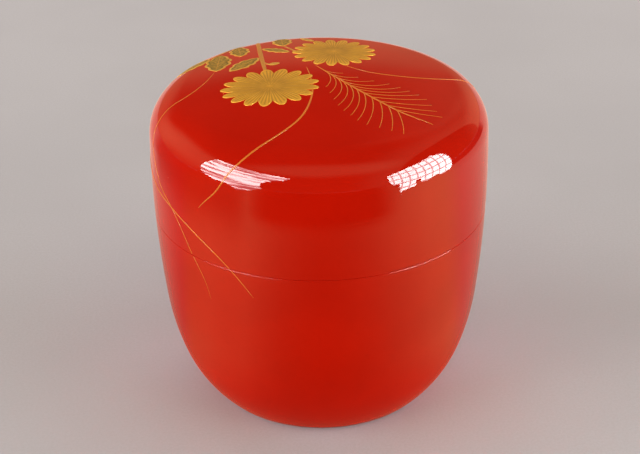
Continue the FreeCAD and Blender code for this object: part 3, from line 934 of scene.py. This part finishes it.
# Floor and backdrop
FLOOR_HALF = 3.0
FLOOR_DEEP, FLOOR_BRIGHT = (0.468, 0.462, 0.530, 1), (0.503, 0.497, 0.570, 1)
FLOOR_GRAIN = (0.425, 0.415, 0.470, 1)
FLOOR_GRAIN_DEPTH = 1.2e-5
BACKDROP_REACH = 2.5
BACKDROP_HEIGHT = 2.5
BACKDROP_SIDES = 48
BACKDROP_DEEP, BACKDROP_BRIGHT = (0.46, 0.43, 0.42, 1), (0.50, 0.47, 0.46, 1)


def staged(name, verts, faces, material, **shown):
    """Object of the stage. shown says which rays see it."""
    mesh = bpy.data.meshes.new(name)
    mesh.from_pydata(verts, [], faces)
    mesh.materials.append(material)
    obj = linked(name, mesh)
    for rays, seen in shown.items():
        setattr(obj, f"visible_{rays}", seen)


def painted_reflection_card(name, verts, faces, material):
    """Card that shows only in the gloss of the lacquer: a painted reflection."""
    staged(name, verts, faces, material, camera=False, diffuse=False, shadow=False, transmission=False)


def square(half, height):
    return [(-half, -half, height), (half, -half, height), (half, half, height), (-half, half, height)]


def floor():
    """Pale paper."""
    shader = Shader("floor")
    grain = shader.noise(1800, 3, roughness=0.7)
    tone = shader.mix(shader.step(shader.noise(14, 3), 0.3, 0.7), FLOOR_DEEP, FLOOR_BRIGHT)
    colour = shader.mix(shader.step(grain, 0.3, 0.7, 0.0, 0.5), tone, FLOOR_GRAIN)
    paper = shader.finish(Base_Color=colour, Roughness=0.85, IOR=1.3,
                          Normal=shader.bump(grain, FLOOR_GRAIN_DEPTH))
    staged("floor", square(FLOOR_HALF, 0), [(0, 1, 2, 3)], paper)


def backdrop():
    """Pale wall round the floor, for the camera alone."""
    shader = Shader("backdrop")
    cloud = shader.step(shader.noise(0.4, 2), 0.3, 0.7)
    wall = shader.glowing(shader.mix(cloud, BACKDROP_DEEP, BACKDROP_BRIGHT))
    corners = [(BACKDROP_REACH * math.cos(turn), BACKDROP_REACH * math.sin(turn))
               for turn in np.linspace(0, 2 * math.pi, BACKDROP_SIDES, endpoint=False)]
    verts = [(x, y, z) for z in (0.0, BACKDROP_HEIGHT) for x, y in corners]
    faces = []
    for k in range(BACKDROP_SIDES):
        after = (k + 1) % BACKDROP_SIDES
        faces.append((k, after, after + BACKDROP_SIDES, k + BACKDROP_SIDES))
    staged("backdrop", verts, faces, wall, diffuse=False, glossy=False, shadow=False, transmission=False)


# Painted reflection of the floor: its glow in the gloss by direction, in degrees from the front, to the right
# positive
FLOOR_GLOW = [(-180, 0.80), (-115, 0.76), (-95, 0.58), (-84, 0.72), (-69, 1.06), (-44, 1.20), (-33, 0.82),
              (-22, 0.48), (-10, 0.28), (0, 0.20), (10, 0.24), (19, 0.34), (29, 0.54), (40, 0.88), (52, 1.20),
              (66, 1.45), (80, 1.30), (97, 0.98), (125, 0.80), (180, 0.80)]
SIDE_GLOW = (1.0, 0.84, 0.40)
BACK_GLOW = (1.0, 0.62, 0.50)
# Red tint of the painted floor reflection close to the foot: painted red bounce light from the lacquer
NEAR_GLOW = (1.5, 0.26, 0.15, 1)
NEAR_ENDS = (0.026, 0.05)
GROWING_ENDS, GROWING_GLOW = (0.02, 0.16), (0.4, 1.3)
GLOW_HALF = 1.5
GLOW_HEIGHT = 0.3 * MM

# Where the painted floor reflection turns dark again, as a painted dark room: directions in degrees, and
# distances from the axis
AHEAD_TURN, AHEAD_ENDS = (26, 58), (0.12, 0.145)
RIGHT_TURNS, RIGHT_ENDS = ((40, 52), (141, 129)), (0.30, 0.33)
LEFT_TURNS, LEFT_ENDS = ((-30, -55), (-140, -120)), (0.085, 0.15)
LEFT_DARKNESS = 0.75
DARK_SHARE = 0.12


def painted_floor_reflection():
    """Painted reflection of the floor, on a card that glows only in the gloss: dim in front, where the room
    is dark, and pale at the sides.
    """
    shader = Shader("painted_floor_reflection")
    angle, reach = shader.bearing(), shader.reach()
    turn_share = shader.total(shader.math("DIVIDE", angle, 2 * math.pi), 0.5)
    ramp = shader.node("ShaderNodeValToRGB", {0: turn_share})
    stops = ramp.color_ramp.elements
    for degrees, _ in FLOOR_GLOW[1:-1]:
        stops.new(degrees / 360 + 0.5)
    for stop, (degrees, level) in zip(stops, FLOOR_GLOW):
        stop.position = degrees / 360 + 0.5
        tint = BACK_GLOW if abs(degrees) > 90 else SIDE_GLOW
        stop.color = (*(level * share for share in tint), 1)

    def within(turns):
        return shader.product(*[shader.step(angle, *np.radians(turn).tolist()) for turn in turns])

    facing = shader.step(shader.math("ABSOLUTE", angle), *np.radians(AHEAD_TURN).tolist(), 1.0, 0.0)
    ahead = shader.product(facing, shader.step(reach, *AHEAD_ENDS))
    right = shader.product(within(RIGHT_TURNS), shader.step(reach, *RIGHT_ENDS))
    left = shader.product(within(LEFT_TURNS), shader.step(reach, *LEFT_ENDS, 0.0, LEFT_DARKNESS))
    # Painted dark zones of the reflection: ahead, to the right and to the left
    dark = shader.math("MAXIMUM", shader.math("MAXIMUM", ahead, right), left)
    glow = shader.product(shader.step(dark, 0.0, 1.0, 1.0, DARK_SHARE),
                          shader.step(reach, *GROWING_ENDS, *GROWING_GLOW))
    # Painted red bounce close to the foot, and the painted side and back glow further out
    colour = shader.mix(shader.step(reach, *NEAR_ENDS), NEAR_GLOW, ramp.outputs[0])
    painted_reflection_card("painted_floor_reflection", square(GLOW_HALF, GLOW_HEIGHT), [(0, 1, 2, 3)], shader.glowing(colour, glow))


def around(angle, height, reach):
    """Place round the axis. Angle 0 is towards the camera and grows to the right."""
    turn = math.radians(angle)
    return reach * math.sin(turn), -reach * math.cos(turn), height * MM


def inside(outline, angle, height):
    """Whether a place lies within an outline of angles and heights."""
    crossings = 0
    for (a, h), (b, k) in zip(outline, outline[1:] + outline[:1]):
        if (h > height) != (k > height) and angle < a + (height - h) / (k - h) * (b - a):
            crossings += 1
    return crossings % 2 == 1


def panes(name, outline, reach, pane, material):
    """Small panes that fill an outline, on a cylinder round the axis."""
    verts, faces = [], []
    angles, heights = zip(*outline)
    a, h = pane[0] / 2, pane[1] / 2
    for angle in np.arange(min(angles) + a, max(angles), pane[0]):
        for height in np.arange(min(heights) + h, max(heights), pane[1]):
            if inside(outline, angle, height):
                faces.append(tuple(range(len(verts), len(verts) + 4)))
                for i, j in ((-1, -1), (1, -1), (1, 1), (-1, 1)):
                    verts.append(around(angle + i * a, height + j * h, reach))
    painted_reflection_card(name, verts, faces, material)


# Painted reflections of windows, as the gloss shows them: angle from the front in degrees and height in
# millimetres
LEFT_WINDOW = [(-77.2, 80), (-76.6, 142), (-75.4, 192), (-62.4, 203), (-46.9, 194), (-30.0, 184),
               (-18.9, 168), (-22.8, 142), (-28.9, 132), (-35.4, 97), (-34.6, 59), (-42.1, 29),
               (-50.2, 13), (-56.3, 45), (-66.4, 46), (-73.6, 58)]
RIGHT_WINDOW = [(40.3, 104), (56.3, 119), (75.8, 126), (80.6, 114), (83.1, 91), (84.2, 64), (85.0, 35),
                (83.4, 24), (76.7, 21), (72.2, 32), (66.7, 21), (61.4, 23), (60.2, 41), (56.9, 41),
                (57.7, 14), (52.4, 8), (47.6, 4), (45.8, 47), (41.8, 47), (39.8, 72)]
LEFT_REACH, LEFT_PANE = 0.2, (1.0, 4.0)
RIGHT_REACH, RIGHT_PANE = 0.15, (0.9, 2.5)
# Glow of the painted window highlights, from dark streak or bar to bright pane
LEFT_GLOW, RIGHT_GLOW = (2.5, 33.0), (11.0, 38.0)
STREAKS = (5.0, 5.0, 62.0)
TORN_HEIGHTS, TORN_SHARE = (0.02, 0.13), 0.12
LATTICE = (math.radians(5.3), 24 * MM)
WINDOW_LIGHT = (1, 1, 1, 1)


def painted_window_reflections():
    """Painted window highlights on glowing cards seen only in the gloss: a window in streaks on the left,
    torn at its foot, and one with a fine lattice on the right.
    """
    shader = Shader("left_window")
    streaks = shader.node("ShaderNodeMapping", {"Vector": shader.place, "Scale": STREAKS}).outputs[0]
    torn = shader.step(shader.height(), *TORN_HEIGHTS, TORN_SHARE, 0.0)
    bright = shader.math("SUBTRACT", shader.noise(1.0, 4, streaks), torn)
    slats = shader.glowing(WINDOW_LIGHT, shader.step(bright, 0.40, 0.56, *LEFT_GLOW))
    panes("left_window", LEFT_WINDOW, LEFT_REACH, LEFT_PANE, slats)
    shader = Shader("right_window")
    bars = [shader.math("PINGPONG", shader.math("DIVIDE", way, pitch / 2), 1.0)
            for way, pitch in zip((shader.bearing(), shader.height()), LATTICE)]
    glow = shader.step(shader.math("MINIMUM", *bars), 0.10, 0.30, *RIGHT_GLOW)
    lattice = shader.glowing(WINDOW_LIGHT, glow)
    panes("right_window", RIGHT_WINDOW, RIGHT_REACH, RIGHT_PANE, lattice)


# Lamps: azimuth from the front, to the right positive, elevation, size in metres and radiance
LAMPS = {
    "left": (-75, 15, (1.8, 0.9), 5.6),
    "right": (75, 15, (1.8, 0.9), 5.2),
    "front": (0, 13, (2.0, 0.8), 2.4),
    "back": (180, 30, (2.8, 1.6), 1.9),
}
LAMP_DISTANCE = 2.0
LAMP_AIM = Vector((0, 0, 0.05))


def lamp(name, azimuth, elevation, size, radiance):
    """Soft rectangular lamp that lights surfaces but doesn't show in the gloss."""
    data = bpy.data.lights.new(name, "AREA")
    data.shape = "RECTANGLE"
    data.size, data.size_y = size
    data.energy = radiance * math.pi * size[0] * size[1]
    turn, lift = math.radians(azimuth), math.radians(elevation)
    out = Vector((math.sin(turn) * math.cos(lift), -math.cos(turn) * math.cos(lift), math.sin(lift)))
    obj = linked(name, data)
    obj.location = LAMP_AIM + out * LAMP_DISTANCE
    obj.rotation_mode = "QUATERNION"
    obj.rotation_quaternion = out.to_track_quat("Z", "Y")
    obj.visible_camera = False
    obj.visible_glossy = False


WALL_TINT, BACK_WALL_TINT = (1.0, 0.90, 0.48, 1), (1.0, 0.56, 0.30, 1)
ROOM_LIGHT = 0.13


def world():
    """Dim room with soft pale walls: low behind, behind to the right, left, right and high in front."""
    room = bpy.data.worlds.new("room")
    room.use_nodes = True
    nodes = Nodes(room.node_tree)
    x, y, z = nodes.axes(nodes.node("ShaderNodeTexCoord").outputs["Generated"])
    step, product = nodes.step, nodes.product
    at_back = step(y, 0.3, 0.8)
    behind = product(at_back, step(z, 0.46, 0.22, 0.0, 0.42))
    left = product(step(x, -0.55, -0.85), step(z, 0.72, 0.45, 0.0, 0.95), step(z, -0.1, 0.4, 0.25, 1.0))
    right = product(step(x, 0.2, 0.72), step(x, 0.765, 0.735, 0.0, 0.5))
    ahead = product(step(y, -0.15, -0.5), step(z, 0.5, 0.75, 0.0, 0.65))
    far_right = product(step(x, -0.02, 0.24), step(x, 0.6, 0.35), step(y, 0.3, 0.7),
                        step(z, 0.28, 0.46, 0.0, 0.36))
    glow = nodes.total(behind, left, right, ahead, far_right)
    background = room.node_tree.nodes["Background"]
    nodes.put(background.inputs["Strength"], step(glow, 0.0, 1.0, ROOM_LIGHT, 1 + ROOM_LIGHT))
    nodes.put(background.inputs["Color"], nodes.mix(at_back, WALL_TINT, BACK_WALL_TINT))
    bpy.context.scene.world = room


camera()
floor()
backdrop()
painted_floor_reflection()
painted_window_reflections()
for lamp_name, values in LAMPS.items():
    lamp(lamp_name, *values)
world()

red, black, wood, yellow, green = red_lacquer(), black_lacquer(), turned_wood(), yellow_gold(), green_gold()
for core in ("body_core", "lid_core"):
    frame["nodes"][core].material_slots[0].material = wood
placed("lid_red_lacquer", red_lid(), "lid", "lid_lacquer_outer", red)
placed("body_red_lacquer", red_body(), "body", "body_lacquer_outer", red)
placed("lid_black_lacquer", black_lid(), "lid", "lid_lacquer_inner", black)
placed("body_black_lacquer", black_body(), "body", "body_lacquer_inner", black)
flower(*FRONT_FLOWER).piece("chrysanthemum_front", "lid", "gold_chrysanthemum_front", "gold", yellow)
flower(*BACK_FLOWER).piece("chrysanthemum_back", "lid", "gold_chrysanthemum_back", "gold", yellow)
leaf_spray().piece("leaf_spray", "lid", "gold_leaf_spray", "green_gold", green)
plume().piece("grass_plume", "lid", "gold_grass_plume", "gold", yellow)
blades(True).piece("grass_blades_lid", "lid", "gold_grass_blades_lid", "gold", yellow)
blades(False).piece("grass_blades_body", "body", "gold_grass_blades_body", "gold", yellow)

bpy.context.scene.view_settings.view_transform = "Standard"
